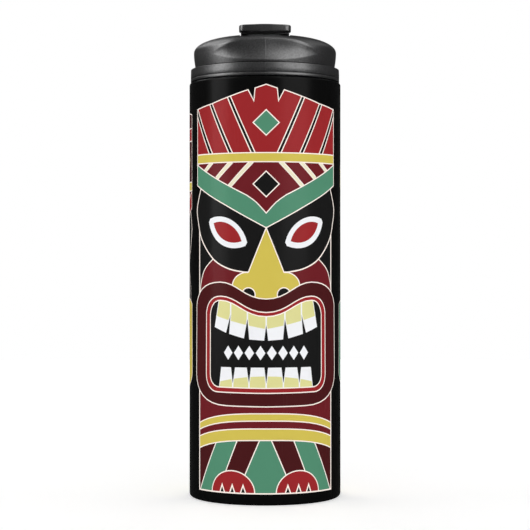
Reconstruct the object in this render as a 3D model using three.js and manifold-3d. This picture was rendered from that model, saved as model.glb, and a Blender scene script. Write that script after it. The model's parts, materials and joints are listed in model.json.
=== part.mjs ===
// Double-wall vacuum travel tumbler with a press-in lid and a flip-up tab over the sip hole.
// Millimetres, +Z up, origin at the centre of the base. The front, with the sip hole, faces -Y.
import * as THREE from 'three';
import { mergeVertices } from 'three/addons/utils/BufferGeometryUtils.js';
import Module from 'manifold-3d';

const wasm = await Module();
wasm.setup();

// Driving dimensions.
const SEGMENTS = 48;
const SMALL_SEGMENTS = 20;
const GAP = 0.3;

const body = { radius: 36.2, wall: 0.6, shoulder: 197.6, topFillet: 1.2, baseFillet: 1.4 };
const neck = { radius: 33.8, wall: 0.8, top: 200.7, roundOver: 0.4 };
const rest = { innerRadius: 31.5, thickness: 0.8 };
const liner = { radius: 31, wall: 0.5, floor: 14, corner: 5.5, lip: 0.6 };
const plate = { bottom: 5.2, thickness: 0.8, dimpleRadius: 6, dimpleDepth: 1, hole: 0.8 };
const cap = { bottom: 1.1, thickness: 0.8, bossRadius: 22, bossHeight: 0.5 };
const getter = { radius: 4, height: 2.4 };
const bead = { radius: 2.6, height: 0.9 };

const collar = {
  bottom: 197.9, top: 205.2, foot: 35.3, crown: 34.95, inner: 33.65, edge: 0.8,
  groove: 199.4, grooveWidth: 0.44, grooveDepth: 0.35, web: 1.4, webInner: 31.2,
};
const dome = {
  foot: 202.7, seam: 204.7, seamRadius: 33.35, radius: 33.72, spring: 212, height: 7,
  squareness: 3.5, wallShare: 0.35,
};
const cavity = { radius: 31.5, spring: 208.4, height: 7 };
const scoop = {
  halfWidth: 25, low: 205.3, high: 216.5, tip: 209.2, hollow: 0.07, fade: 0.12, tipHeight: 0.6,
  backLow: [-31.4, 205.3], backHigh: [-28.6, 210.8],
};
const channel = { halfWidth: 11.75, floor: 217.2, front: -36, back: 11.8 };
const sip = { y: -17.5, halfWidth: 7.5, halfDepth: 3 };
const vent = { y: -3, radius: 1.2 };
const hinge = { y: 9, z: 219.7, barrel: 2.2, pin: 1.1, bore: 1.4, ear: 2.7, earRadius: 1.9 };
const plug = {
  bottom: 184, top: 204.2, skirt: 30.2, shank: 30.9, step: 198.6, inner: 27.6, shankInner: 29.3,
  innerStep: 197.4, grooveRadius: 29, grooves: [187.4, 192.6], grooveHeight: 2.6, chamfer: 0.8,
};
const seal = { inner: 29.3, lip: 30.7, back: 30.25, lipHeight: 0.5 };
const lever = {
  halfWidth: 11.35, underside: 218.6, front: -21.3, top: 222.3, rearTop: 221.9,
  lipHalfWidth: 11.75, lipFront: -26.3, lipBack: -19.5, lipBottom: 219.6, lipTop: 222.5,
  lipCorner: 2, lipBevel: 0.5,
};
const stopper = { flange: 1.2, flangeThickness: 0.8, depth: 2.6, clearance: 0.4, taper: 0.7 };
const ventSeal = { radius: 2.6, thickness: 0.8, nub: 0.8, nubDepth: 0.7 };

const RIGHT_ANGLE = Math.PI / 2;

// Geometry helpers.
function point(x, y) {
  return new THREE.Vector2(x, y);
}

// Points of an arc about (x, y), both ends included. Angles are in degrees from +X.
function arc(x, y, radius, from, to, steps) {
  const points = [];
  for (let i = 0; i <= steps; i += 1) {
    const angle = THREE.MathUtils.degToRad(from + ((to - from) * i) / steps);
    points.push(point(x + radius * Math.cos(angle), y + radius * Math.sin(angle)));
  }
  return points;
}

// A copy with shared vertices, without the triangles that shrink to nothing on the axis.
function welded(geometry) {
  const bare = geometry.clone();
  bare.deleteAttribute('normal');
  bare.deleteAttribute('uv');
  const merged = mergeVertices(bare);
  const corners = Array.from(merged.index.array);
  const kept = [];
  for (let i = 0; i < corners.length; i += 3) {
    const [a, b, c] = corners.slice(i, i + 3);
    if (a !== b && b !== c && c !== a) {
      kept.push(a, b, c);
    }
  }
  merged.setIndex(kept);
  return merged;
}

// Turns a profile of [radius, height] points about Z. It runs anticlockwise, outside going up.
function turned(profile, segments = SEGMENTS) {
  const lathe = new THREE.LatheGeometry(profile, segments);
  return welded(lathe.rotateX(RIGHT_ANGLE));
}

function closedRing(profile, segments = SEGMENTS) {
  return turned([...profile, profile[0]], segments);
}

function toSolid(geometry) {
  const merged = welded(geometry);
  const vertProperties = Float32Array.from(merged.attributes.position.array);
  const triVerts = Uint32Array.from(merged.index.array);
  return new wasm.Manifold(new wasm.Mesh({ numProp: 3, vertProperties, triVerts }));
}

function toGeometry(solid) {
  const mesh = solid.getMesh();
  const geometry = new THREE.BufferGeometry();
  geometry.setAttribute('position', new THREE.BufferAttribute(mesh.vertProperties, 3));
  geometry.setIndex(new THREE.BufferAttribute(mesh.triVerts, 1));
  return geometry;
}

function block(x, y, z) {
  const size = [x, y, z].map(([low, high]) => high - low);
  const middle = [x, y, z].map(([low, high]) => (high + low) / 2);
  return new THREE.BoxGeometry(...size).translate(...middle);
}

function crossBar(radius, halfLength, y, z) {
  const bar = new THREE.CylinderGeometry(radius, radius, 2 * halfLength, SMALL_SEGMENTS);
  return bar.rotateZ(RIGHT_ANGLE).translate(0, y, z);
}

// A slot with round ends across X, standing from z = low to high.
function slot(halfWidth, halfDepth, low, high, y, taper = 0) {
  const straight = halfWidth - halfDepth;
  const steps = SMALL_SEGMENTS / 2;
  const outline = [
    ...arc(straight, 0, halfDepth, -90, 90, steps),
    ...arc(-straight, 0, halfDepth, 90, 270, steps),
  ];
  const geometry = new THREE.ExtrudeGeometry(new THREE.Shape(outline), {
    depth: high - low,
    bevelEnabled: false,
  });
  const position = geometry.attributes.position;
  for (let i = 0; i < position.count; i += 1) {
    const isFoot = position.getZ(i) < (high - low) / 2;
    const shrink = isFoot ? 1 - taper / halfDepth : 1;
    const centre = THREE.MathUtils.clamp(position.getX(i), -straight, straight);
    position.setX(i, centre + (position.getX(i) - centre) * shrink);
    position.setY(i, position.getY(i) * shrink);
  }
  return geometry.translate(0, y, low);
}

// The stainless tumbler.
function outerShell() {
  const inside = body.radius - body.wall;
  return closedRing([
    point(rest.innerRadius, 0),
    ...arc(body.radius - body.baseFillet, body.baseFillet, body.baseFillet, -90, 0, 3),
    ...arc(body.radius - body.topFillet, body.shoulder - body.topFillet, body.topFillet, 0, 90, 3),
    point(neck.radius, body.shoulder),
    ...arc(neck.radius - neck.roundOver, neck.top - neck.roundOver, neck.roundOver, 0, 90, 2),
    point(neck.radius - neck.wall, neck.top),
    point(neck.radius - neck.wall, body.shoulder - body.wall),
    point(inside, body.shoulder - body.wall),
    point(inside, rest.thickness),
    point(rest.innerRadius, rest.thickness),
  ]);
}

function innerLiner() {
  const outside = liner.radius + liner.wall;
  const floorBelow = liner.floor - liner.wall;
  const corner = liner.corner + liner.wall;
  const bend = liner.radius - liner.corner;
  const level = liner.floor + liner.corner;
  const lipRadius = neck.radius - neck.wall - GAP;
  return turned([
    point(0, floorBelow),
    ...arc(bend, level, corner, -90, 0, 4),
    point(outside, neck.top - liner.lip),
    point(lipRadius, neck.top - liner.lip),
    point(lipRadius, neck.top),
    point(liner.radius, neck.top),
    ...arc(bend, level, liner.corner, 0, -90, 4),
    point(0, liner.floor),
  ]);
}

function shellBottom() {
  const radius = body.radius - body.wall - GAP;
  const sunk = plate.bottom - plate.dimpleDepth;
  const slope = plate.dimpleRadius - plate.dimpleDepth;
  return closedRing([
    point(plate.hole, sunk),
    point(slope, sunk),
    point(plate.dimpleRadius, plate.bottom),
    point(radius, plate.bottom),
    point(radius, plate.bottom + plate.thickness),
    point(plate.dimpleRadius - GAP, plate.bottom + plate.thickness),
    point(slope - GAP, sunk + plate.thickness),
    point(plate.hole, sunk + plate.thickness),
  ]);
}

function baseCap() {
  const radius = body.radius - body.wall - GAP;
  const top = cap.bottom + cap.thickness;
  const raised = cap.bossRadius - cap.bossHeight;
  return turned([
    point(0, cap.bottom + cap.bossHeight),
    point(raised, cap.bottom + cap.bossHeight),
    point(cap.bossRadius, cap.bottom),
    point(radius, cap.bottom),
    point(radius, top),
    point(cap.bossRadius, top),
    point(raised, top + cap.bossHeight),
    point(0, top + cap.bossHeight),
  ]);
}

function vacuumGetter() {
  const top = liner.floor - liner.wall - GAP;
  const chamfer = getter.height / 4;
  const profile = [
    point(0, top - getter.height),
    point(getter.radius - chamfer, top - getter.height),
    point(getter.radius, top - getter.height + chamfer),
    point(getter.radius, top),
    point(0, top),
  ];
  return turned(profile, SMALL_SEGMENTS);
}

function vacuumSealBead() {
  const top = plate.bottom - plate.dimpleDepth - GAP;
  const profile = [
    point(0, top - bead.height),
    point(bead.radius / 2, top - bead.height * 0.85),
    point(bead.radius, top - bead.height / 3),
    point(bead.radius, top),
    point(0, top),
  ];
  return turned(profile, SMALL_SEGMENTS);
}

// The lid: a trim collar on the rim, a domed cap and the skirt that presses into the liner.
function lidCollar() {
  const ledge = neck.top + GAP;
  const skirtInner = neck.radius + GAP;
  const half = collar.grooveWidth / 2;
  return closedRing([
    point(skirtInner, collar.bottom),
    point(collar.foot - GAP, collar.bottom),
    point(collar.foot, collar.bottom + GAP),
    point(collar.foot, collar.groove - half),
    point(collar.foot - collar.grooveDepth, collar.groove),
    point(collar.foot, collar.groove + half),
    ...arc(collar.crown - collar.edge, collar.top - collar.edge, collar.edge, 0, 90, 3),
    point(collar.inner, collar.top),
    point(collar.inner, ledge + collar.web),
    point(collar.webInner, ledge + collar.web),
    point(collar.webInner, ledge),
    point(skirtInner, ledge),
  ]);
}

// Point of the cap's plain profile at a share of the way from the seam, 0, to the top, 1.
function domePoint(share) {
  if (share < dome.wallShare) {
    const rise = share / dome.wallShare;
    const flare = dome.seamRadius + (dome.radius - dome.seamRadius) * Math.sin(rise * RIGHT_ANGLE);
    return point(flare, dome.seam + (dome.spring - dome.seam) * rise);
  }
  const angle = ((share - dome.wallShare) / (1 - dome.wallShare)) * RIGHT_ANGLE;
  const radius = dome.radius * Math.max(Math.cos(angle), 0) ** (2 / dome.squareness);
  return point(radius, dome.spring + dome.height * Math.sin(angle));
}

function domeShare(z) {
  if (z < dome.spring) {
    return (dome.wallShare * (z - dome.seam)) / (dome.spring - dome.seam);
  }
  const angle = Math.asin((z - dome.spring) / dome.height);
  return dome.wallShare + (1 - dome.wallShare) * (angle / RIGHT_ANGLE);
}

// The finger scoop's lower and upper edges at a share of its half width.
function scoopEdges(across) {
  const low = scoop.low + (scoop.tip - scoop.low) * across ** 2.6;
  const drop = scoop.high - scoop.tip;
  const high = scoop.high - drop * (0.68 * across ** 1.2 + 0.32 * across ** 9);
  return [Math.min(low, scoop.tip - scoop.tipHeight), Math.max(high, scoop.tip + scoop.tipHeight)];
}

// The cap's outside at one angle from the front, from its foot to the top on the axis.
function domeColumn(angle, wallSteps, scoopSteps, crownSteps) {
  const isFront = Math.cos(angle) > 0;
  const across = isFront ? Math.min(Math.abs(dome.radius * Math.sin(angle)) / scoop.halfWidth, 1) : 1;
  const [low, high] = scoopEdges(across).map(domeShare);
  const sag = scoop.hollow * Math.min((1 - across) / scoop.fade, 1);
  const from = domePoint(low);
  const to = domePoint(high);
  const column = [point(dome.seamRadius, dome.foot)];
  for (let i = 0; i < wallSteps; i += 1) {
    column.push(domePoint((low * i) / wallSteps));
  }
  for (let i = 0; i < scoopSteps; i += 1) {
    const step = i / scoopSteps;
    if (across >= 1) {
      column.push(domePoint(low + (high - low) * step));
    } else {
      const depth = sag * 4 * step * (1 - step);
      const chord = point(to.x - from.x, to.y - from.y);
      column.push(point(
        from.x + chord.x * step - chord.y * depth,
        from.y + chord.y * step + chord.x * depth,
      ));
    }
  }
  for (let i = 0; i < crownSteps; i += 1) {
    column.push(domePoint(high + ((1 - high) * i) / crownSteps));
  }
  column.push(point(0, dome.spring + dome.height));
  return column;
}

function domeOutside() {
  const steps = [2, 4, 7];
  const length = domeColumn(0, ...steps).length + 1;
  const lathe = new THREE.LatheGeometry([point(0, dome.foot), ...domeColumn(0, ...steps)], SEGMENTS);
  const position = lathe.attributes.position;
  for (let i = 0; i <= SEGMENTS; i += 1) {
    const angle = (i / SEGMENTS) * 2 * Math.PI;
    domeColumn(angle, ...steps).forEach((spot, j) => {
      const x = spot.x * Math.sin(angle);
      const z = spot.x * Math.cos(angle);
      position.setXYZ(i * length + j + 1, x, spot.y, z);
    });
  }
  return toSolid(lathe.rotateX(RIGHT_ANGLE));
}

function domeInside() {
  const steps = 6;
  const profile = [point(0, dome.foot - 1), point(cavity.radius, dome.foot - 1)];
  for (let i = 0; i < steps; i += 1) {
    const angle = (i / steps) * RIGHT_ANGLE;
    const radius = cavity.radius * Math.cos(angle) ** (2 / dome.squareness);
    profile.push(point(radius, cavity.spring + cavity.height * Math.sin(angle)));
  }
  profile.push(point(0, cavity.spring + cavity.height));
  const [lowY, lowZ] = scoop.backLow;
  const [highY, highZ] = scoop.backHigh;
  const lean = Math.atan2(highY - lowY, highZ - lowZ);
  const backing = block([-40, 40], [-20, 0], [-30, 30]).rotateX(-lean).translate(0, lowY, lowZ);
  return toSolid(turned(profile)).subtract(toSolid(backing));
}

function hingeEars() {
  const outline = [
    point(hinge.earRadius + 1.5, channel.floor - hinge.z),
    ...arc(0, 0, hinge.earRadius, 0, 180, 8),
    point(-hinge.earRadius - 1.5, channel.floor - hinge.z),
  ];
  const ear = new THREE.ExtrudeGeometry(new THREE.Shape(outline), {
    depth: hinge.ear,
    bevelEnabled: false,
  });
  ear.rotateZ(RIGHT_ANGLE).rotateY(RIGHT_ANGLE);
  const ears = [-channel.halfWidth - hinge.ear, channel.halfWidth];
  return ears.map((x) => toSolid(ear.clone().translate(x, hinge.y, hinge.z)));
}

function lidDome() {
  const { halfWidth, floor, front, back } = channel;
  let solid = domeOutside().subtract(domeInside());
  solid = solid.subtract(toSolid(block([-halfWidth, halfWidth], [front, back], [floor, 240])));
  for (const ear of hingeEars()) {
    solid = solid.add(ear);
  }
  const below = cavity.spring;
  const ventHole = new THREE.CylinderGeometry(vent.radius, vent.radius, 20, SMALL_SEGMENTS);
  solid = solid.subtract(toSolid(slot(sip.halfWidth, sip.halfDepth, below, 230, sip.y)));
  solid = solid.subtract(toSolid(ventHole.rotateX(RIGHT_ANGLE).translate(0, vent.y, floor)));
  return toGeometry(solid.subtract(toSolid(crossBar(hinge.bore, 20, hinge.y, hinge.z))));
}

function lidPlug() {
  const grooves = plug.grooves.flatMap((low) => [
    point(plug.skirt, low),
    point(plug.grooveRadius, low),
    point(plug.grooveRadius, low + plug.grooveHeight),
    point(plug.skirt, low + plug.grooveHeight),
  ]);
  return closedRing([
    point(plug.inner, plug.bottom),
    point(plug.skirt - plug.chamfer, plug.bottom),
    point(plug.skirt, plug.bottom + plug.chamfer),
    ...grooves,
    point(plug.skirt, plug.step),
    point(plug.shank, plug.step + plug.shank - plug.skirt),
    point(plug.shank, plug.top),
    point(plug.shankInner, plug.top),
    point(plug.shankInner, plug.innerStep + plug.shankInner - plug.inner),
    point(plug.inner, plug.innerStep),
  ]);
}

function plugSeal(low) {
  const bottom = low + GAP;
  const top = low + plug.grooveHeight - GAP;
  return closedRing([
    point(seal.inner, bottom),
    point(seal.back, bottom),
    point(seal.back, top - 2 * seal.lipHeight),
    point(seal.lip, top - seal.lipHeight),
    point(seal.lip, top),
    point(seal.inner, top),
  ]);
}

// The flip-up tab, drawn about its hinge axis, with its stopper and vent seal below it.
function flipLever() {
  const { y: axisY, z: axisZ } = hinge;
  const side = new THREE.Shape([
    point(lever.front - axisY, lever.underside - axisZ),
    point(0, lever.underside - axisZ),
    point(0, lever.rearTop - axisZ),
    point(lever.front - axisY, lever.top - axisZ),
  ]);
  const web = new THREE.ExtrudeGeometry(side, { depth: 2 * lever.halfWidth, bevelEnabled: false });
  // The outline's X becomes Y, its Y becomes Z and the depth runs along X.
  web.rotateX(RIGHT_ANGLE).rotateZ(RIGHT_ANGLE).translate(-lever.halfWidth, 0, 0);

  const reach = lever.lipHalfWidth - lever.lipBevel;
  const frontEdge = lever.lipFront + lever.lipBevel - axisY;
  const backEdge = lever.lipBack - lever.lipBevel - axisY;
  const corner = lever.lipCorner;
  const plan = new THREE.Shape([
    ...arc(-reach + corner, frontEdge + corner, corner, 180, 270, 3),
    ...arc(reach - corner, frontEdge + corner, corner, 270, 360, 3),
    point(reach, backEdge),
    point(-reach, backEdge),
  ]);
  const lip = new THREE.ExtrudeGeometry(plan, {
    depth: lever.lipTop - lever.lipBottom - 2 * lever.lipBevel,
    bevelSize: lever.lipBevel,
    bevelThickness: lever.lipBevel,
    bevelSegments: 2,
  });
  lip.translate(0, 0, lever.lipBottom + lever.lipBevel - axisZ);

  const barrel = crossBar(hinge.barrel, lever.halfWidth, 0, 0);
  const bore = crossBar(hinge.bore, 20, 0, 0);
  return toGeometry(toSolid(web).add(toSolid(lip)).add(toSolid(barrel)).subtract(toSolid(bore)));
}

function spoutStopper() {
  const { flange, flangeThickness, depth, clearance, taper } = stopper;
  const low = channel.floor + GAP;
  const grip = sip.halfWidth - clearance;
  const gripDepth = sip.halfDepth - clearance;
  const rim = slot(sip.halfWidth + flange, sip.halfDepth + flange, low, low + flangeThickness, sip.y);
  const nose = slot(grip, gripDepth, channel.floor - depth, low + flangeThickness / 2, sip.y, taper);
  return toGeometry(toSolid(rim).add(toSolid(nose)));
}

function ventSealButton() {
  const low = channel.floor + GAP;
  const profile = [
    point(0, channel.floor - ventSeal.nubDepth),
    point(ventSeal.nub, channel.floor - ventSeal.nubDepth),
    point(ventSeal.nub, low),
    point(ventSeal.radius, low),
    point(ventSeal.radius, low + ventSeal.thickness),
    point(0, low + ventSeal.thickness),
  ];
  return turned(profile, SMALL_SEGMENTS).translate(0, vent.y, 0);
}

// Finishes and assembly.
function finish(color, roughness, metalness) {
  return new THREE.MeshStandardMaterial({ color, roughness, metalness });
}

function piece(name, geometry, material, place = [0, 0, 0]) {
  const mesh = new THREE.Mesh(geometry, material);
  mesh.name = name;
  mesh.position.set(...place);
  return mesh;
}

const tumbler = new THREE.Group();
tumbler.add(
  piece('outer_shell', outerShell(), finish(0x1c1c1c, 0.22, 0.1)),
  piece('inner_liner', innerLiner(), finish(0xb9bbbc, 0.3, 1)),
  piece('shell_bottom', shellBottom(), finish(0xa9abac, 0.4, 1)),
  piece('base_cap', baseCap(), finish(0xbcbebf, 0.3, 1)),
  piece('vacuum_getter', vacuumGetter(), finish(0x6d6a66, 0.7, 0.6)),
  piece('vacuum_seal_bead', vacuumSealBead(), finish(0x3c4a44, 0.15, 0)),
);

const [lowerGroove, upperGroove] = plug.grooves;
const seals = new THREE.Group();
seals.add(
  piece('lower_plug_seal', plugSeal(lowerGroove), finish(0x8f9294, 0.6, 0)),
  piece('upper_plug_seal', plugSeal(upperGroove), finish(0x8f9294, 0.6, 0)),
);

const hingeAxis = [0, hinge.y, hinge.z];
const pin = crossBar(hinge.pin, channel.halfWidth + hinge.ear - GAP, 0, 0);
const flipTab = new THREE.Group();
flipTab.add(
  piece('flip_lever', flipLever(), finish(0x2b2c2d, 0.45, 0), hingeAxis),
  piece('spout_stopper', spoutStopper(), finish(0x7d8082, 0.65, 0)),
  piece('vent_seal', ventSealButton(), finish(0x7d8082, 0.65, 0)),
);

const lid = new THREE.Group();
lid.add(
  piece('lid_collar', lidCollar(), finish(0x2d2e2f, 0.45, 0)),
  piece('lid_dome', lidDome(), finish(0x2b2c2d, 0.45, 0)),
  piece('lid_plug', lidPlug(), finish(0x262728, 0.5, 0)),
  piece('hinge_pin', pin, finish(0xc4c6c7, 0.25, 1), hingeAxis),
  seals,
  flipTab,
);

const group = new THREE.Group();
group.add(tumbler, lid);

export default group;
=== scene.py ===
"""Printed steel travel tumbler with a black flip-top lid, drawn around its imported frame."""
import json
import math

import bpy
import numpy as np
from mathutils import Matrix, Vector
from mathutils.geometry import delaunay_2d_cdt


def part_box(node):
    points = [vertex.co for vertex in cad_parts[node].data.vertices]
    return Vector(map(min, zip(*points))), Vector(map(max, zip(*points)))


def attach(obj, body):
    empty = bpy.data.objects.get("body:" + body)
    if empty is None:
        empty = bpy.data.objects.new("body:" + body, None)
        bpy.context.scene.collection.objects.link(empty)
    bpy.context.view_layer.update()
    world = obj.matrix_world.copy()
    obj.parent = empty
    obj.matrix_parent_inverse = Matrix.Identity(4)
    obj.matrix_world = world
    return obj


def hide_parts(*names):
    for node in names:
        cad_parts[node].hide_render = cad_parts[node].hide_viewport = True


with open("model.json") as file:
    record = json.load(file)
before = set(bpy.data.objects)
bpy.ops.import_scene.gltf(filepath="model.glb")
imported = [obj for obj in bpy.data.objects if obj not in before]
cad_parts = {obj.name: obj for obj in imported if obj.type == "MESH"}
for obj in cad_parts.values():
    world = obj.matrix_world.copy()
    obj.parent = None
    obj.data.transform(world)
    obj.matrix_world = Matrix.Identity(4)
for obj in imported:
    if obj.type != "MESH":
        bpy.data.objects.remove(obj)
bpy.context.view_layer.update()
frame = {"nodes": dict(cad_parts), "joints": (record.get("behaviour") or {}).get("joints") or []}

MM = 0.001


def box_mm(node):
    """Lowest and highest corner of a CAD node, in millimetres."""
    low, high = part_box(node)
    return [v / MM for v in low], [v / MM for v in high]


# ---------------------------------------------------------------- sizes, in millimetres
RADIUS = box_mm("outer_shell")[1][0]
RIM = box_mm("outer_shell")[1][2]
COLLAR_LOW, COLLAR_HIGH = (corner[2] for corner in box_mm("lid_collar"))
DOME_FOOT = box_mm("lid_dome")[0][2]
HINGE_Y, HINGE_Z = (v / MM for v in frame["joints"][-1]["pos_m"][1:])

SHOULDER = RIM - 3.1
BASE_FILLET = 1.8
TOP_FILLET = 1.2
WALL_LOW = BASE_FILLET
WALL_HIGH = SHOULDER - TOP_FILLET
NECK = 33.8
SHELL_WALL = 0.6
COLUMNS = 180

SIP_Y, SIP_HALF_WIDTH, SIP_HALF_DEPTH = -17.5, 7.5, 3.0
VENT_Y, VENT_RADIUS = -3.0, 1.2
PIN_BORE = 1.4
LEVER_HALF = 11.35
PARTING_RIDGE = 0.05


# ---------------------------------------------------------------- mesh helpers
def mesh_object(name, verts, faces, materials, slots=None, sharp=32.0):
    """A smooth-shaded object from millimetre vertices; slots gives each face's material."""
    mesh = bpy.data.meshes.new(name)
    mesh.from_pydata([tuple(c * MM for c in v) for v in verts], [], faces)
    for material in materials:
        mesh.materials.append(material)
    if slots is not None:
        mesh.polygons.foreach_set("material_index", slots)
    mesh.polygons.foreach_set("use_smooth", [True] * len(mesh.polygons))
    mesh.set_sharp_from_angle(angle=math.radians(sharp))
    mesh.validate()
    obj = bpy.data.objects.new(name, mesh)
    bpy.context.scene.collection.objects.link(obj)
    return obj


def rounded(points, steps=4, closed=False):
    """Rounds the corners of an outline of (x, y) or (x, y, radius) points."""
    count = len(points)
    out = []
    for i, spot in enumerate(points):
        here = Vector(spot[:2])
        radius = spot[2] if len(spot) > 2 else 0
        is_end = not closed and i in (0, count - 1)
        if radius <= 0 or is_end:
            out.append(tuple(here))
            continue
        before = Vector(points[i - 1][:2]) - here
        after = Vector(points[(i + 1) % count][:2]) - here
        half = before.angle(after) / 2
        reach = min(radius / math.tan(half), 0.48 * before.length, 0.48 * after.length)
        start = here + before.normalized() * reach
        end = here + after.normalized() * reach
        for k in range(steps + 1):
            t = k / steps
            spot = start * (1 - t) ** 2 + here * 2 * t * (1 - t) + end * t ** 2
            out.append(tuple(spot))
    return out


def arc(x, y, radius, start, end, steps):
    """Points of an arc about (x, y), angles in degrees from +X."""
    angles = [math.radians(start + (end - start) * k / steps) for k in range(steps + 1)]
    return [(x + radius * math.cos(a), y + radius * math.sin(a)) for a in angles]


def turn_angles(columns):
    """Angles from the front, -Y, towards +X."""
    return [2 * math.pi * k / columns for k in range(columns)]


def turned(profile, angles, closed=False):
    """Vertices and faces of a (radius, height) profile turned about Z, outside going up."""
    verts = []
    rows = []
    for radius, height in profile:
        if radius < 1e-6:
            rows.append([len(verts)] * len(angles))
            verts.append((0, 0, height))
            continue
        rows.append([len(verts) + k for k in range(len(angles))])
        verts += [(radius * math.sin(a), -radius * math.cos(a), height) for a in angles]
    return verts, skin(rows, closed)


def skin(rows, closed=False):
    """Faces between rows of vertex numbers that each go round once."""
    faces = []
    pairs = list(zip(rows, rows[1:]))
    if closed:
        pairs.append((rows[-1], rows[0]))
    for low, high in pairs:
        for k in range(len(low)):
            n = (k + 1) % len(low)
            face = []
            for corner in (low[k], low[n], high[n], high[k]):
                if corner not in face:
                    face.append(corner)
            if len(face) > 2:
                faces.append(face)
    return faces


def extruded(outline, low, high, bevel=0.0, steps=3):
    """A closed prism of an anticlockwise (x, y) outline from z = low to high, edges rounded."""
    turns = [math.pi / 2 * k / steps for k in range(steps + 1)] if bevel else [0.0]
    levels = [(bevel * (1 - math.sin(a)), low + bevel * (1 - math.cos(a))) for a in turns]
    top = [(inset, low + high - z) for inset, z in reversed(levels)]
    verts = []
    rows = []
    for inset, z in levels + top:
        ring = offset(outline, -inset) if inset else outline
        rows.append(list(range(len(verts), len(verts) + len(ring))))
        verts += [(x, y, z) for x, y in ring]
    faces = skin(rows)
    faces.append(list(reversed(rows[0])))
    faces.append(rows[-1])
    return verts, faces


def moved(verts, x=0.0, y=0.0, z=0.0):
    return [(a + x, b + y, c + z) for a, b, c in verts]


# ---------------------------------------------------------------- flat drawing helpers
def area(points):
    total = 0.0
    for (x0, y0), (x1, y1) in zip(points, points[1:] + points[:1]):
        total += x0 * y1 - x1 * y0
    return total / 2


def offset(points, distance):
    """An outline grown by a distance, or shrunk by a negative one, with mitred corners."""
    if area(points) < 0:
        points = points[::-1]
    out = []
    count = len(points)
    for i, here in enumerate(points):
        before = Vector(here) - Vector(points[i - 1])
        after = Vector(points[(i + 1) % count]) - Vector(here)
        if before.length < 1e-9 or after.length < 1e-9:
            continue
        n0 = Vector((before.y, -before.x)).normalized()
        n1 = Vector((after.y, -after.x)).normalized()
        spread = max(1 + n0.dot(n1), 0.22)
        out.append(tuple(Vector(here) + (n0 + n1) / spread * distance))
    return out


def stroke(points, width):
    """The outline of a line of that width through open points."""
    left, right = [], []
    last = len(points) - 1
    for i, here in enumerate(points):
        before = Vector(here) - Vector(points[i - 1]) if i else None
        after = Vector(points[i + 1]) - Vector(here) if i < last else None
        run = (before or after).normalized() + (after or before).normalized()
        side = Vector((-run.y, run.x)).normalized() * width / 2
        left.append(tuple(Vector(here) + side))
        right.append(tuple(Vector(here) - side))
    return left + right[::-1]


def bezier(p0, p1, p2, p3, steps=8):
    """Points of a cubic curve, without its last one."""
    out = []
    for k in range(steps):
        t = k / steps
        s = 1 - t
        weights = (s ** 3, 3 * s * s * t, 3 * s * t * t, t ** 3)
        out.append(tuple(sum(w * p[i] for w, p in zip(weights, (p0, p1, p2, p3))) for i in (0, 1)))
    return out


def through(points, steps=5):
    """A smooth curve through open points."""
    out = []
    ends = [points[0]] + list(points) + [points[-1]]
    for a, b, c, d in zip(ends, ends[1:], ends[2:], ends[3:]):
        lead = tuple(b[i] + (c[i] - a[i]) / 6 for i in (0, 1))
        tail = tuple(c[i] - (d[i] - b[i]) / 6 for i in (0, 1))
        out += bezier(b, lead, tail, c, steps)
    return out + [tuple(points[-1])]


def lens(start, end, bulge, blunt=0.0, steps=12):
    """A leaf between two corners whose two arcs bulge by that much, its tips cut blunt."""
    a, b = Vector(start), Vector(end)
    along = b - a
    side = Vector((-along.y, along.x)).normalized()
    half = along.length / 2
    radius = (half ** 2 + bulge ** 2) / (2 * bulge)
    shares = [blunt + (1 - 2 * blunt) * k / steps for k in range(steps + (blunt > 0))]
    edge = [(t, math.sqrt(radius ** 2 - (half * (2 * t - 1)) ** 2) - radius + bulge)
            for t in shares]
    out = [tuple(a + along * t + side * h) for t, h in edge]
    out += [tuple(b - along * t - side * h) for t, h in edge]
    return out


def mirrored(points):
    return [(-u, z) for u, z in reversed(points)]


def whole(half):
    """A symmetric outline from its right half, listed from the centre line round to it again."""
    return half + [(-u, z) for u, z in reversed(half) if abs(u) > 1e-6]


def diamond(u, z, half_width, half_height):
    return [(u, z - half_height), (u + half_width, z), (u, z + half_height), (u - half_width, z)]


def rectangle(u0, u1, z0, z1):
    return [(u0, z0), (u1, z0), (u1, z1), (u0, z1)]


# ---------------------------------------------------------------- the printed figures
LINE = 0.5
PRINT_LOW = 5.7
LINED = "outline"


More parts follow.
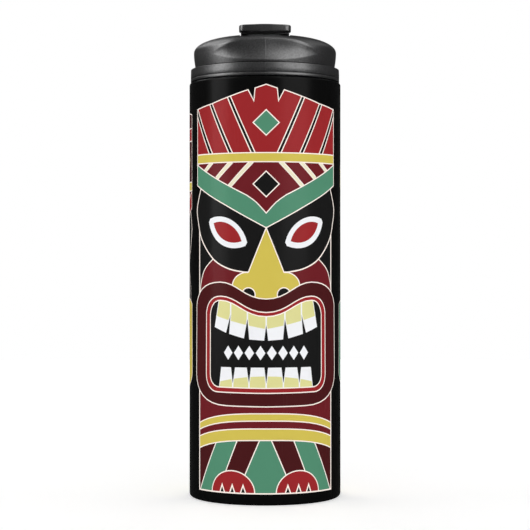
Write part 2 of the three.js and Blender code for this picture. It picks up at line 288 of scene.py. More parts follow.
class Figure:
    """One mask figure of the print, in millimetres along the wrap (u) and up the wall (z)."""

    def __init__(self, layers, inks, centre=0.0, width=1.0, crown_width=None, trunk_width=None,
                 mouth_width=None, drop=0.0, smile=0.0, tuck=0.0):
        self.layers = layers
        self.inks = inks
        self.centre = centre
        self.width = width
        self.crown_width = crown_width or width
        self.trunk_width = trunk_width or width
        self.mouth_width = mouth_width or width
        self.drop = drop
        self.smile = smile
        self.tuck = tuck

    def height(self, z):
        """Narrow figures have a lower brow: heights between mouth and brow are drawn closer."""
        mouth, brow = 95.0, 157.6
        if z <= mouth:
            return z
        if z >= brow:
            return z - self.drop
        return mouth + (z - mouth) * (brow - self.drop - mouth) / (brow - mouth)

    def place(self, points, width=None):
        scale = width or self.width
        return [(self.centre + u * scale, self.height(z)) for u, z in points]

    def add(self, ink, outline, clips, width=None):
        bounds = [self.place(clip, width) for clip in clips]
        self.layers.append((self.inks.get(ink, ink), outline, bounds))

    def fill(self, points, ink, *clips, width=None, grow=0.0):
        placed = self.place(points, width)
        self.add(ink, offset(placed, grow) if grow else placed, clips, width)

    def shape(self, points, ink, *clips, width=None, line=LINE):
        """A filled outline with a pale line round it."""
        self.fill(points, LINED, *clips, width=width, grow=line / 2)
        self.fill(points, ink, *clips, width=width, grow=-line / 2)

    def line(self, points, line_width=LINE, ink=LINED, clips=(), width=None):
        self.add(ink, stroke(self.place(points, width), line_width), clips, width)

    def pair(self, draw, points, *args, **kwargs):
        draw(points, *args, **kwargs)
        draw(mirrored(points), *args, **kwargs)


def mouth_outline(crest, dip, shoulder, foot, knee, reach):
    """Half of a mouth: a dip at the centre, a crest, a rounded side and a rounded foot."""
    (crest_u, crest_z), (side, shoulder_z), (foot_u, foot_z) = crest, shoulder, foot
    half = bezier((0, dip), (crest_u * 0.45, dip), (crest_u * 0.6, crest_z), crest)
    rise = min(reach, (crest_z - shoulder_z) * 0.7)
    half += bezier(crest, (crest_u + reach, crest_z), (side, shoulder_z + rise), shoulder)
    bend = 0.58
    start, end = (side, knee), (foot_u, foot_z)
    half += bezier(start, (side, knee + (foot_z - knee) * bend),
                   (foot_u + (side - foot_u) * bend, foot_z), end)
    half += [end, (0, foot_z - 0.2)]
    return whole(half)


def body_panel(figure):
    """The trunk below the mouth: chin, two bowed belts, a striped skirt and two feet."""
    side, chin_top = 38.4, 62.0
    panel = rectangle(-side, side, PRINT_LOW, chin_top)
    figure.shape(rectangle(-side, side, PRINT_LOW, 132), "black", line=0.75)
    figure.shape(panel, "chin")

    def bow(centre, edge):
        across = np.linspace(side, -side, 21)
        return [(u, centre - (centre - edge) * abs(u / side) ** 2.7) for u in across]

    skirt = bow(30.1, 25.0) + [(-side, PRINT_LOW), (side, PRINT_LOW)]
    figure.shape(skirt, "skirt")
    outer = [(25.4, 29.2), (37.6, PRINT_LOW), (24.3, PRINT_LOW), (13.7, 30.4)]
    figure.pair(figure.shape, outer, "skirt_stripe", skirt)
    inner = [(-2.6, 30.6), (2.6, 30.6), (13.8, PRINT_LOW), (-13.8, PRINT_LOW)]
    figure.shape(inner, "skirt_stripe", skirt)
    for top, bottom in (((42.35, 36.8), (39.0, 33.6)), ((35.4, 30.5), (30.1, 25.0))):
        belt = bow(*top) + bow(*bottom)[::-1]
        figure.shape(belt, "belt", panel)

    for foot in (-16.8, 16.8):
        inward = 0.985 * foot
        claw_places = (inward - 5.6, inward, inward + 5.6)
        toes = [(foot + 11.65 * math.cos(a), PRINT_LOW + 10.2 * math.sin(a))
                for a in np.linspace(0, math.pi, 19)]
        figure.shape(toes, "feet", panel)
        for claw in claw_places:
            blade = [(claw - 1.75, PRINT_LOW - 1), (claw + 1.75, PRINT_LOW - 1), (claw, 9.25)]
            figure.shape(blade, "black", panel, line=0.6)
    figure.line([(-side - LINE / 2, PRINT_LOW), (side + LINE / 2, PRINT_LOW)])
    figure.pair(figure.line, [(side, PRINT_LOW), (side, chin_top)], 0.75)


def face(figure):
    """Cheeks, dark mask, eyes and nose."""
    cheek = through([(28.2, 113.3), (34.3, 108.5), (37.4, 102.3), (38.2, 96.0)])
    figure.shape(whole([(0, 118)] + cheek + [(38.2, 88), (0, 88)]), "cheek")
    rim = through([(37.8, 145.5), (41.2, 137.0), (40.0, 130.5), (36.6, 122.4), (28.2, 113.5),
                   (19.8, 109.2), (12.0, 107.5), (8.6, 107.3)])
    figure.shape(whole([(0, 150), (36.5, 150)] + rim + [(0, 110)]), "mask", line=0.62)

    brow_top = [(40.9, 157.6)] + through([(9.7, 142.8), (4.9, 139.5), (0, 134.4)], 3)
    field = [(40.9, 158.1)] + brow_top
    figure.shape(whole([(0, 158.1)] + field), "field")
    for top, bottom, wide in (
        ((6.8, 158.3), (18.4, 146.9), 2.1),
        ((17.2, 158.3), (25.9, 150.6), 2.1),
        ((28.8, 158.3), (34.0, 154.2), 2.0),
    ):
        figure.pair(figure.line, [top, bottom], wide, LINED)
        figure.pair(figure.line, [top, bottom], wide - 0.7, "field_stripe")
    figure.shape(diamond(0, 147.8, 6.3, 5.9), "black")
    figure.shape(brow_outline(brow_top), "brow")

    figure.pair(figure.fill, lens((31.2, 131.6), (9.0, 119.8), 6.3, 0.03), "eye")
    figure.pair(figure.fill, lens((27.8, 130.0), (12.0, 121.5), 3.9), "pupil")

    wing = [(8.6, 107.3)] + through([(8.8, 107.2), (11.6, 106.9), (14.7, 105.2), (16.6, 102.3),
                                     (16.6, 98.0)], 4)
    figure.shape(whole([(0, 127.7)] + wing + [(10, 92), (0, 90)]), "nose")
    for side in (-8.6, 8.6):
        figure.shape(arc(side, 96.9, 3.3, 0, 360, 20)[:-1], "black")


def brow_outline(top_half):
    """The brow's whole outline from the right half of its upper edge."""
    left = [(-u, z) for u, z in top_half]
    lower = [(-40.9, 147.9), (-20.4, 138.2), (0, 127.7), (20.4, 138.2), (40.9, 147.9)]
    return top_half + left[::-1][1:] + lower


def teeth(figure, opening):
    """Six upper and six lower teeth that touch at their roots and part towards their tips."""
    upper = ([(17.9, 99), (23.4, 99), (26.8, 82.0), (20.4, 79.6), (17.9, 88)],
             [(9.3, 97), (17.5, 99), (17.5, 88.2), (18.3, 79.0), (11.0, 77.1), (9.3, 85.8)],
             [(0.2, 95), (8.9, 95), (8.9, 86), (8.0, 76.6), (1.15, 76.1), (0.2, 83.3)])
    lower = ([(17.7, 63.3), (22.9, 63.3), (24.3, 53), (16.8, 53), (16.8, 56)],
             [(9.6, 63.3), (15.2, 63.3), (16.4, 56), (16.4, 53), (8.5, 53), (8.5, 56)],
             [(1.1, 63.3), (7.2, 63.3), (8.15, 56), (8.15, 53), (0.2, 53), (0.2, 56)])

    def root(u):
        return 81.2 + 0.17 * abs(u) + 0.0022 * u * u

    across = np.linspace(-29, 29, 25)
    gum = [(u, root(u)) for u in across] + [(29, 99), (-29, 99)]
    base = [(u, 59.5 - 0.0048 * u * u) for u in across[::-1]] + [(-29, 52), (29, 52)]
    for shapes, stained in ((upper, gum), (lower, base)):
        for tooth in shapes:
            figure.pair(figure.fill, tooth, "tooth", opening, grow=0.2)
            figure.pair(figure.fill, tooth, "root", opening, stained, grow=-0.15)


def mouth(figure):
    """Lips, a thin red gum line and a black opening with teeth and a row of small diamonds."""
    lift, tuck = figure.smile, figure.tuck
    lips = mouth_outline((23.5, 102.7 + lift), 95.0 + lift * 0.4, (42.0, 89.0 - lift * 0.25),
                         (20.0, 45.7 + tuck), 60.0, 9.5)
    figure.shape(lips, "lips")
    gums = mouth_outline((23.3, 96.2 + lift * 0.5), 88.8, (33.0, 86.5),
                         (25.2, 51.9 + tuck * 0.4), 60.0, 6.0)
    figure.shape(gums, "gums")
    opening = mouth_outline((23.6, 94.3 + lift * 0.5), 86.9, (30.1, 86.0),
                            (24.3, 54.2 + tuck * 0.4), 60.0, 4.4)
    figure.shape(opening, "black")
    teeth(figure, offset(opening, -LINE / 2))
    step, count = 5.45, 8
    for k in range(count):
        u = (k - (count - 1) / 2) * step
        figure.fill(diamond(u, 70.2, 2.35, 3.3), "tooth")


def fan_crown(figure):
    """A tall notched headdress with raking double lines, over a level band."""
    wide = figure.crown_width
    side = 40.4
    top = [(0, 193.5), (5.3, 191.8), (5.9, 186.0), (8.7, 191.1), (18.2, 188.3), (28.5, 185.5),
           (40.5, 183.5)]
    crown = whole(top + [(side, 160), (0, 160)])
    figure.shape(crown, "crown", width=wide)
    inside = offset(crown, -LINE / 2)
    for upper, lower, outer, core in (
        ((19.0, 189.3), (6.0, 161.8), 2.15, 1.15),
        ((29.9, 186.6), (17.3, 161.8), 2.2, 1.2),
        ((41.2, 183.8), (29.1, 161.8), 2.5, 1.4),
    ):
        figure.pair(figure.line, [upper, lower], outer, LINED, [inside], width=wide)
        figure.pair(figure.line, [upper, lower], core, "black", [inside], width=wide)
    figure.shape(diamond(0, 176.0, 6.25, 5.85), "jewel", width=wide)


def tier_crown(figure):
    """A stepped headdress in level tiers with a row of small diamonds."""
    wide = figure.crown_width
    top = [(0, 204.0), (12.0, 202.6), (15.0, 197.2), (40.4, 194.0), (40.4, 160), (0, 160)]
    crown = whole(top)
    figure.shape(crown, "crown", width=wide)
    figure.shape(rectangle(-40.4, 40.4, 181.6, 187.6), "tier", width=wide)
    for u in (-30.0, -15.0, 0.0, 15.0, 30.0):
        figure.shape(diamond(u, 172.6, 4.6, 5.0), "jewel", width=wide)
    figure.shape(diamond(0, 193.8, 5.4, 3.6), "jewel", width=wide)


TRUNK_SHIFT = 0.33


def figure_print(layers, inks, crown, **place):
    figure = Figure(layers, inks, **place)
    head_width, head_centre = figure.width, figure.centre
    figure.width = figure.trunk_width
    figure.centre = head_centre - TRUNK_SHIFT
    body_panel(figure)
    figure.width = head_width
    figure.centre = head_centre
    face(figure)
    crown(figure)
    figure.shape(rectangle(-40.4, 40.4, 158.0, 162.15), "band", width=figure.crown_width)
    figure.width = figure.mouth_width
    mouth(figure)


FRONT_INKS = {
    "crown": "red", "jewel": "green", "band": "yellow", "field": "dark_red", "brow": "green",
    "field_stripe": "cream", "black": "charcoal", "mask": "charcoal", "eye": "white",
    "pupil": "red", "nose": "yellow",
    "cheek": "dark_red", "lips": "maroon", "gums": "red", "tooth": "white", "root": "bone",
    "chin": "dark_red", "belt": "yellow", "skirt": "maroon", "skirt_stripe": "green",
    "feet": "red", "tier": "red",
}
LEFT_INKS = dict(FRONT_INKS, crown="maroon", brow="red", nose="green", cheek="charcoal",
                 lips="yellow", gums="dark_red", pupil="green", chin="maroon", belt="green",
                 skirt="dark_red", skirt_stripe="yellow", feet="green", jewel="yellow")
RIGHT_INKS = dict(FRONT_INKS, crown="green", brow="yellow", nose="red", cheek="charcoal",
                  lips="green", gums="dark_red", pupil="yellow", chin="maroon", belt="red",
                  skirt="dark_red", skirt_stripe="cream", feet="yellow", jewel="red",
                  band="red", field="maroon")
BACK_OFFSET = 78.0

INK_HEX = {
    "black": "0B0B0B", "charcoal": "1A1A1A", "red": "9A292C", "dark_red": "6C2026",
    "maroon": "491A1C", "green": "528C70", "yellow": "D2BF55", "cream": "EDE6C9",
    "bone": "DEDA97", "white": "F2F3F6", "outline": "FFF3EA",
}
INK_NAMES = list(INK_HEX)


def print_layers():
    """Every printed shape as (ink, outline, clips), back to front."""
    layers = []
    middle = 0.55
    figure_print(layers, FRONT_INKS, fan_crown, centre=middle, width=0.956,
                 crown_width=0.966)
    figure_print(layers, LEFT_INKS, tier_crown, centre=middle - BACK_OFFSET, width=0.76,
                 crown_width=0.775, trunk_width=0.57, drop=12.2, smile=-7.5, tuck=6.2)
    figure_print(layers, RIGHT_INKS, fan_crown, centre=middle + BACK_OFFSET, width=0.64,
                 crown_width=0.6, trunk_width=0.57, mouth_width=0.73, smile=-8.5, tuck=7.5)
    return layers


def inside(points, outline):
    """Which of the (n, 2) points lie inside an outline."""
    x, y = points[:, 0], points[:, 1]
    hit = np.zeros(len(points), bool)
    for (x0, y0), (x1, y1) in zip(outline, outline[1:] + outline[:1]):
        if y0 == y1:
            continue
        crosses = (y0 > y) != (y1 > y)
        hit ^= crosses & (x < x0 + (y - y0) * (x1 - x0) / (y1 - y0))
    return hit


def wrap_mesh():
    """The printed wall unrolled: points, triangles and each triangle's ink."""
    reach = math.pi * RADIUS
    layers = print_layers()
    verts, edges = [], []

    def chain(points, closed):
        start = len(verts)
        verts.extend(Vector(p) for p in points)
        last = len(points) if closed else len(points) - 1
        edges.extend((start + i, start + (i + 1) % len(points)) for i in range(last))

    steps = np.linspace(-reach, reach, COLUMNS + 1)
    levels = np.linspace(WALL_LOW, WALL_HIGH, 26)
    for u in steps:
        chain([(u, z) for z in levels], False)
    for z in levels:
        chain([(u, z) for u in steps], False)
    for _, outline, clips in layers:
        for drawn in (outline, *clips):
            chain(drawn, True)
    points, _, triangles, _, _, _ = delaunay_2d_cdt(verts, edges, [], 0, 1e-4)
    spots = np.array([tuple(p) for p in points])
    corners = np.array([tuple(t) for t in triangles])
    middles = spots[corners].mean(axis=1)
    kept = (abs(middles[:, 0]) < reach) & (middles[:, 1] > WALL_LOW) & (middles[:, 1] < WALL_HIGH)
    corners, middles = corners[kept], middles[kept]
    inks = np.full(len(corners), INK_NAMES.index("black"))
    for ink, outline, clips in layers:
        low, high = np.min(outline, axis=0), np.max(outline, axis=0)
        near = np.flatnonzero(((middles >= low) & (middles <= high)).all(axis=1))
        if not len(near):
            continue
        hit = inside(middles[near], outline)
        for clip in clips:
            hit &= inside(middles[near], clip)
        inks[near[hit]] = INK_NAMES.index(ink)
    return spots, corners, inks


# ---------------------------------------------------------------- materials
def rgb(code):
    """A scene-linear colour from a six-digit sRGB code."""
    values = [int(code[i:i + 2], 16) / 255 for i in (0, 2, 4)]
    linear = [v / 12.92 if v <= 0.04045 else ((v + 0.055) / 1.055) ** 2.4 for v in values]
    return (*linear, 1.0)


class Shader:
    """A node material with a Principled surface and small helpers for its details."""

    def __init__(self, name, code, roughness, metallic=0.0, specular=0.5):
        self.material = bpy.data.materials.new(name)
        self.material.use_nodes = True
        self.tree = self.material.node_tree
        self.surface = self.tree.nodes["Principled BSDF"]
        self.surface.inputs["Base Color"].default_value = rgb(code)
        self.surface.inputs["Roughness"].default_value = roughness
        self.surface.inputs["Metallic"].default_value = metallic
        self.surface.inputs["Specular IOR Level"].default_value = specular
        self.coordinates = self.node("ShaderNodeTexCoord").outputs["Object"]

    def node(self, kind, **values):
        made = self.tree.nodes.new(kind)
        for name, value in values.items():
            if name in made.inputs:
                made.inputs[name].default_value = value
            else:
                setattr(made, name, value)
        return made

    def link(self, source, target):
        self.tree.links.new(source, target)

    def scaled(self, x, y, z):
        """Object coordinates, stretched."""
        mapping = self.node("ShaderNodeMapping")
        mapping.inputs["Scale"].default_value = (x, y, z)
        self.link(self.coordinates, mapping.inputs["Vector"])
        return mapping.outputs["Vector"]

    def spun(self, radial, upward):
        """Coordinates that only change with the radius and the height, for turned marks."""
        split = self.node("ShaderNodeSeparateXYZ")
        self.link(self.coordinates, split.inputs[0])
        flat = self.node("ShaderNodeCombineXYZ")
        self.link(split.outputs["X"], flat.inputs["X"])
        self.link(split.outputs["Y"], flat.inputs["Y"])
        length = self.node("ShaderNodeVectorMath", operation="LENGTH")
        self.link(flat.outputs[0], length.inputs[0])
        out = self.node("ShaderNodeCombineXYZ")
        for axis, source, scale in (("X", length.outputs["Value"], radial),
                                    ("Z", split.outputs["Z"], upward)):
            times = self.node("ShaderNodeMath", operation="MULTIPLY")
            times.inputs[1].default_value = scale
            self.link(source, times.inputs[0])
            self.link(times.outputs[0], out.inputs[axis])
        return out.outputs[0]

    def noise(self, vector, scale, detail=3.0, rough=0.5):
        made = self.node("ShaderNodeTexNoise")
        made.inputs["Scale"].default_value = scale
        made.inputs["Detail"].default_value = detail
        made.inputs["Roughness"].default_value = rough
        self.link(vector, made.inputs["Vector"])
        return made.outputs["Fac"]

    def spread(self, source, low, high, start=0.3, end=0.7):
        """Maps a mask running from start to end onto low to high."""
        made = self.node("ShaderNodeMapRange")
        limits = {"From Min": start, "From Max": end, "To Min": low, "To Max": high}
        for name, value in limits.items():
            made.inputs[name].default_value = value
        self.link(source, made.inputs["Value"])
        return made.outputs[0]

    def add(self, first, second):
        made = self.node("ShaderNodeMath", operation="ADD")
        self.link(first, made.inputs[0])
        self.link(second, made.inputs[1])
        return made.outputs[0]

    def gloss(self, source):
        self.link(source, self.surface.inputs["Roughness"])

    def relief(self, *layers):
        """Bumps from (height mask, depth in millimetres) pairs."""
        normal = None
        for source, depth in layers:
            bump = self.node("ShaderNodeBump", Strength=1.0, Distance=depth * MM)
            self.link(source, bump.inputs["Height"])
            if normal:
                self.link(normal, bump.inputs["Normal"])
            normal = bump.outputs["Normal"]
        self.link(normal, self.surface.inputs["Normal"])


def ink_material(name):
    """Printed glossy coating: a slight orange peel, fine rubs and a few handling smears."""
    shader = Shader("ink_" + name, INK_HEX[name], 0.22, specular=0.033)
    peel = shader.noise(shader.coordinates, 900.0, 2.0)
    wave = shader.noise(shader.coordinates, 120.0, 1.0)
    smears = shader.noise(shader.scaled(40, 40, 12), 1.0, 4.0)
    rubs = shader.noise(shader.scaled(900, 900, 60), 1.0, 2.0)
    shader.gloss(shader.add(shader.spread(smears, 0.17, 0.25), shader.spread(rubs, 0.0, 0.05)))
    shader.relief((wave, 0.004), (peel, 0.0012))
    return shader.material


def plastic_material():
    """Moulded black polypropylene: fine spark-eroded texture with rubbed, glossier patches."""
    shader = Shader("black_plastic", "1B1B1C", 0.4, specular=0.8)
    grain = shader.noise(shader.coordinates, 5200.0, 2.0, 0.6)
    pores = shader.node("ShaderNodeTexVoronoi")
    pores.inputs["Scale"].default_value = 2600.0
    shader.link(shader.coordinates, pores.inputs["Vector"])
    patches = shader.noise(shader.coordinates, 55.0, 4.0)
    grit = shader.noise(shader.coordinates, 1300.0, 2.0, 0.6)
    speckle = shader.spread(grain, -0.03, 0.03)
    shader.gloss(shader.add(shader.spread(patches, 0.33, 0.41), speckle))
    shader.link(shader.spread(grit, 0.6, 1.0), shader.surface.inputs["Specular IOR Level"])
    shader.relief((grit, 0.008), (grain, 0.006), (pores.outputs["Distance"], 0.004))
    return shader.material


def steel_material():
    """Bare drawn stainless steel with spun lines and a few dull patches."""
    shader = Shader("bare_steel", "BDBCB9", 0.3, metallic=1.0)
    lines = shader.noise(shader.spun(3800, 3800), 1.0, 3.0, 0.7)
    bands = shader.noise(shader.spun(420, 420), 1.0, 2.0)
    patches = shader.noise(shader.coordinates, 70.0, 3.0)
    shader.gloss(shader.add(shader.spread(bands, 0.2, 0.32), shader.spread(patches, 0.0, 0.08)))
    shader.relief((lines, 0.003), (bands, 0.002))
    return shader.material


def pin_material():
    """Ground wire pin with faint lengthwise scratches."""
    shader = Shader("pin_steel", "C9C9C8", 0.2, metallic=1.0)
    scratches = shader.noise(shader.scaled(300, 5000, 5000), 1.0, 3.0)
    patches = shader.noise(shader.coordinates, 400.0)
    shader.gloss(shader.spread(patches, 0.16, 0.3))
    shader.relief((scratches, 0.002))
    return shader.material


def silicone_material():
    """Grey silicone rubber, matt with a faint dusty bloom."""
    shader = Shader("grey_silicone", "8B8E90", 0.6, specular=0.35)
    bloom = shader.noise(shader.coordinates, 240.0, 4.0)
    grain = shader.noise(shader.coordinates, 3800.0, 2.0)
    shader.gloss(shader.spread(bloom, 0.5, 0.72))
    shader.relief((grain, 0.004), (bloom, 0.006))
    return shader.material


def sintered_material():
    """Sintered getter metal: dark, grainy and porous."""
    shader = Shader("sintered_metal", "6A6763", 0.7, metallic=0.7)
    grains = shader.node("ShaderNodeTexVoronoi")
    grains.inputs["Scale"].default_value = 2200.0
    shader.link(shader.coordinates, grains.inputs["Vector"])
    pits = shader.noise(shader.coordinates, 1500.0, 4.0)
    shader.gloss(shader.spread(pits, 0.55, 0.85))
    shader.relief((grains.outputs["Distance"], 0.05), (pits, 0.03))
    return shader.material


def glass_material():
    """Dark solder glass, fused smooth with shallow ripples."""
    shader = Shader("solder_glass", "2E3A35", 0.12)
    ripple = shader.noise(shader.coordinates, 500.0, 2.0)
    seeds = shader.noise(shader.coordinates, 2400.0, 2.0)
    shader.gloss(shader.spread(seeds, 0.08, 0.22))
    shader.relief((ripple, 0.03))
    return shader.material


def studio_material():
    """Seamless white card."""
    shader = Shader("studio_card", "F8F8F8", 0.9, specular=0.1)
    shader.surface.inputs["Emission Color"].default_value = (1, 1, 1, 1)
    shader.surface.inputs["Emission Strength"].default_value = 0.45
    tooth = shader.noise(shader.coordinates, 300.0, 3.0)
    shader.gloss(shader.spread(tooth, 0.85, 0.95))
    shader.relief((tooth, 0.02))
    return shader.material


# ---------------------------------------------------------------- the tumbler
def printed_shell():
    """The outer wall: the printed wrap, joined to the rest of the shell's turned profile."""
    spots, corners, inks = wrap_mesh()
    verts, index = [], []
    seam = {}
    for u, z in spots:
        at_seam = abs(abs(u) - math.pi * RADIUS) < 1e-3
        key = round(z, 2)
        if at_seam and key in seam:
            index.append(seam[key])
            continue
        if at_seam:
            seam[key] = len(verts)
        index.append(len(verts))
        angle = u / RADIUS
        verts.append((RADIUS * math.sin(angle), -RADIUS * math.cos(angle), z))
    faces, slots = [], []
    for tri, ink in zip(corners, inks):
        face = [index[i] for i in tri]
        if len(set(face)) == 3:
            faces.append(face)
            slots.append(int(ink))

    def edge_row(level):
        row = [i for i, (_, _, z) in enumerate(verts) if abs(z - level) < 1e-3]
        turn = 2 * math.pi
        row.sort(key=lambda i: (math.atan2(verts[i][0], -verts[i][1]) + 1e-4) % turn)
        return row

    angles = turn_angles(COLUMNS)
    inner = RADIUS - SHELL_WALL
    upper = arc(RADIUS - TOP_FILLET, WALL_HIGH, TOP_FILLET, 0, 90, 6)[1:]
    upper += arc(NECK + 0.3, SHOULDER + 0.3, 0.3, 270, 180, 3)
    upper += arc(NECK - 0.4, RIM - 0.4, 0.4, 0, 90, 4)
    upper += arc(NECK - 0.4, RIM - 0.4, 0.4, 90, 180, 4)[1:]
    upper += [(NECK - 0.8, SHOULDER - 0.6), (inner, SHOULDER - 0.6), (inner, 0.8), (31.5, 0.8)]
    upper += [(31.5, 0.15), (31.65, 0.0)]
    upper += arc(RADIUS - BASE_FILLET, BASE_FILLET, BASE_FILLET, -90, 0, 6)[:-1]
    rows = [edge_row(WALL_HIGH)]
    for radius, z in upper:
        rows.append(list(range(len(verts), len(verts) + COLUMNS)))
        verts += [(radius * math.sin(a), -radius * math.cos(a), z) for a in angles]
    rows.append(edge_row(WALL_LOW))
    plain = skin(rows)
    steel_from = 7
    steel_to = len(rows) - 8
    black = INK_NAMES.index("black")
    for i, face in enumerate(plain):
        ring = i // COLUMNS
        faces.append(face)
        slots.append(len(INK_NAMES) if steel_from <= ring < steel_to else black)
    materials = [ink_material(name) for name in INK_NAMES] + [STEEL]
    shell = mesh_object("printed_outer_shell", verts, faces, materials, slots)
    smooth_wall(shell)
    return shell


def smooth_wall(shell):
    """Turns the wall's normals to point straight out, so the print's triangles don't show."""
    mesh = shell.data
    normals = np.array([tuple(n.vector) for n in mesh.corner_normals])
    vertex = np.empty(len(mesh.loops), int)
    mesh.loops.foreach_get("vertex_index", vertex)
    spots = np.empty(len(mesh.vertices) * 3)
    mesh.vertices.foreach_get("co", spots)
    spots = spots.reshape(-1, 3)[vertex]
    radial = np.hypot(spots[:, 0], spots[:, 1])
    height = spots[:, 2] / MM
    wall = abs(radial - RADIUS * MM) < 1e-6
    wall &= (height > WALL_LOW - 0.01) & (height < WALL_HIGH + 0.01)
    normals[wall, 0] = spots[wall, 0] / radial[wall]
    normals[wall, 1] = spots[wall, 1] / radial[wall]
    normals[wall, 2] = 0.0
    mesh.normals_split_custom_set([tuple(n) for n in normals])


def body_piece(obj, body, node):
    """Puts a piece on its body, in place of its CAD node."""
    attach(obj, body)
    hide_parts(node)
    return obj


def inner_liner():
    """The steel cup: a turned wall with a rounded floor and a lip that closes on the neck."""
    radius, wall, floor, corner = 31.0, 0.5, 14.0, 5.5
    lip = NECK - 0.8 - 0.3
    bend = radius - corner
    level = floor + corner
    profile = [(0, floor - wall)]
    profile += arc(bend, level, corner + wall, -90, 0, 12)
    profile += [(radius + wall, RIM - 0.75), (radius + wall + 0.15, RIM - 0.6)]
    profile += [(lip, RIM - 0.6), (lip, RIM - 0.12), (lip - 0.12, RIM), (radius + 0.25, RIM)]
    profile += [(radius + 0.07, RIM - 0.07), (radius, RIM - 0.25)]
    profile += arc(bend, level, corner, 0, -90, 12)
    profile += [(14, floor), (13.4, floor + 0.2), (12.6, floor + 0.2), (12, floor), (0, floor)]
    verts, faces = turned(profile, turn_angles(144))
    return mesh_object("steel_inner_liner", verts, faces, [STEEL], sharp=40)


def base_cap():
    """The pressed cover disc, with a stepped rim and a small centre mark."""
    low, high = (corner[2] for corner in box_mm("base_cap"))
    radius = box_mm("base_cap")[1][0]
    step = 0.5
    under = [(0, low + step), (3.2, low + step), (3.5, low + step + 0.12), (3.9, low + step)]
    under += [(20.6, low + step), (21.0, low + step - 0.06), (21.6, low + 0.06), (22.0, low)]
    under += [(27.6, low), (28.0, low + 0.14), (28.8, low + 0.14), (29.2, low)]
    edge = [(radius - 0.25, low), (radius, low + 0.25)]
    top = [(radius, high - step), (22, high - step), (21.4, high - 0.06), (21, high), (0, high)]
    verts, faces = turned(under + edge + top, turn_angles(128))
    return mesh_object("pressed_base_cap", verts, faces, [STEEL], sharp=40)


# ---------------------------------------------------------------- the lid
def lid_angles(columns):
    """Even columns, with a few close ones at front and back for the moulds' parting line."""
    thin = math.radians(0.3)
    extra = [middle + thin * k for middle in (0, math.pi) for k in (-2, -1, 1, 2)]
    return sorted(a % (2 * math.pi) for a in turn_angles(columns) + extra)


def parting(angle):
    """Height of the faint ridge where the mould halves met."""
    return PARTING_RIDGE if abs(math.sin(angle)) < 1e-6 else 0.0


def collar():
    """The trim ring on the rim: a plain band over a narrow groove and a foot."""
    foot, crown, inner, edge = 35.6, 35.5, 33.75, 0.18
    groove = 199.4
    ledge = RIM + 0.3
    low, high = COLLAR_LOW, COLLAR_HIGH - 1.3
    outside = [(foot - 0.3, low), (foot - 0.09, low + 0.09), (foot, low + 0.3)]
    outside += [(foot, groove - 0.3), (foot - 0.07, groove - 0.14), (foot - 0.35, groove - 0.05)]
    outside += [(foot - 0.35, groove + 0.05), (foot - 0.1, groove + 0.14), (foot, groove + 0.32)]
    outside += [(foot - 0.03, groove + 2.2)]
    outside += arc(crown - edge, high - edge, edge, 0, 90, 8)
    inside = [(inner + 0.15, high), (inner, high - 0.15), (inner, ledge + 1.4)]
    inside += [(31.2, ledge + 1.4), (31.2, ledge), (NECK + 0.3, ledge), (NECK + 0.3, low)]
    angles = lid_angles(192)
    verts, rows = [], []
    for k, (radius, z) in enumerate(outside + inside):
        rows.append(list(range(len(verts), len(verts) + len(angles))))
        for a in angles:
            reach = radius + (parting(a) if k < len(outside) else 0)
            verts.append((reach * math.sin(a), -reach * math.cos(a), z))
    faces = skin(rows, closed=True)
    return mesh_object("lid_trim_collar", verts, faces, [PLASTIC], sharp=50)


SEAM_RADIUS, SEAM_Z, SEAM_DEPTH = 33.3, 204.5, 0.75
DOME_RADIUS, SPRING, DOME_HEIGHT = 34.1, 212.0, 7.3
WALL_SHARE = 0.35
CROWN_POWER = 2 / 3.5
SCOOP_HALF, SCOOP_LOW, SCOOP_HIGH, SCOOP_TIP = 25.0, 205.3, 216.4, 209.2
CHANNEL_HALF, CHANNEL_FLOOR, CHANNEL_BACK = 11.75, 217.2, 11.8


def dome_point(share):
    """The cap's plain profile at a share of the way from its seam to the top."""
    if share < WALL_SHARE:
        rise = share / WALL_SHARE
        radius = SEAM_RADIUS + (DOME_RADIUS - SEAM_RADIUS) * math.sin(rise * math.pi / 2)
        return Vector((radius, SEAM_Z + (SPRING - SEAM_Z) * rise))
    angle = (share - WALL_SHARE) / (1 - WALL_SHARE) * math.pi / 2
    radius = DOME_RADIUS * max(math.cos(angle), 0.0) ** CROWN_POWER
    return Vector((radius, SPRING + DOME_HEIGHT * math.sin(angle)))


def dome_share(z):
    if z < SPRING:
        return WALL_SHARE * (z - SEAM_Z) / (SPRING - SEAM_Z)
    angle = math.asin((z - SPRING) / DOME_HEIGHT)
    return WALL_SHARE + (1 - WALL_SHARE) * angle / (math.pi / 2)


def scoop_edges(across):
    """Heights of the finger scoop's lower and upper edge at a share of its half width."""
    low = SCOOP_LOW + (SCOOP_TIP - SCOOP_LOW) * across ** 2.6
    high = SCOOP_TIP + (SCOOP_HIGH - SCOOP_TIP) * (1 - across ** 2.5)
    return min(low, SCOOP_TIP - 0.6), max(high, SCOOP_TIP + 0.6)


def turn_over(before, corner, after, reach, steps=3):
    """A corner rounded between points that far from it on either side."""
    start = corner + (before - corner).normalized() * reach
    end = corner + (after - corner).normalized() * reach
    ts = [k / steps for k in range(steps + 1)]
    return [start * (1 - t) ** 2 + corner * 2 * t * (1 - t) + end * t ** 2 for t in ts]


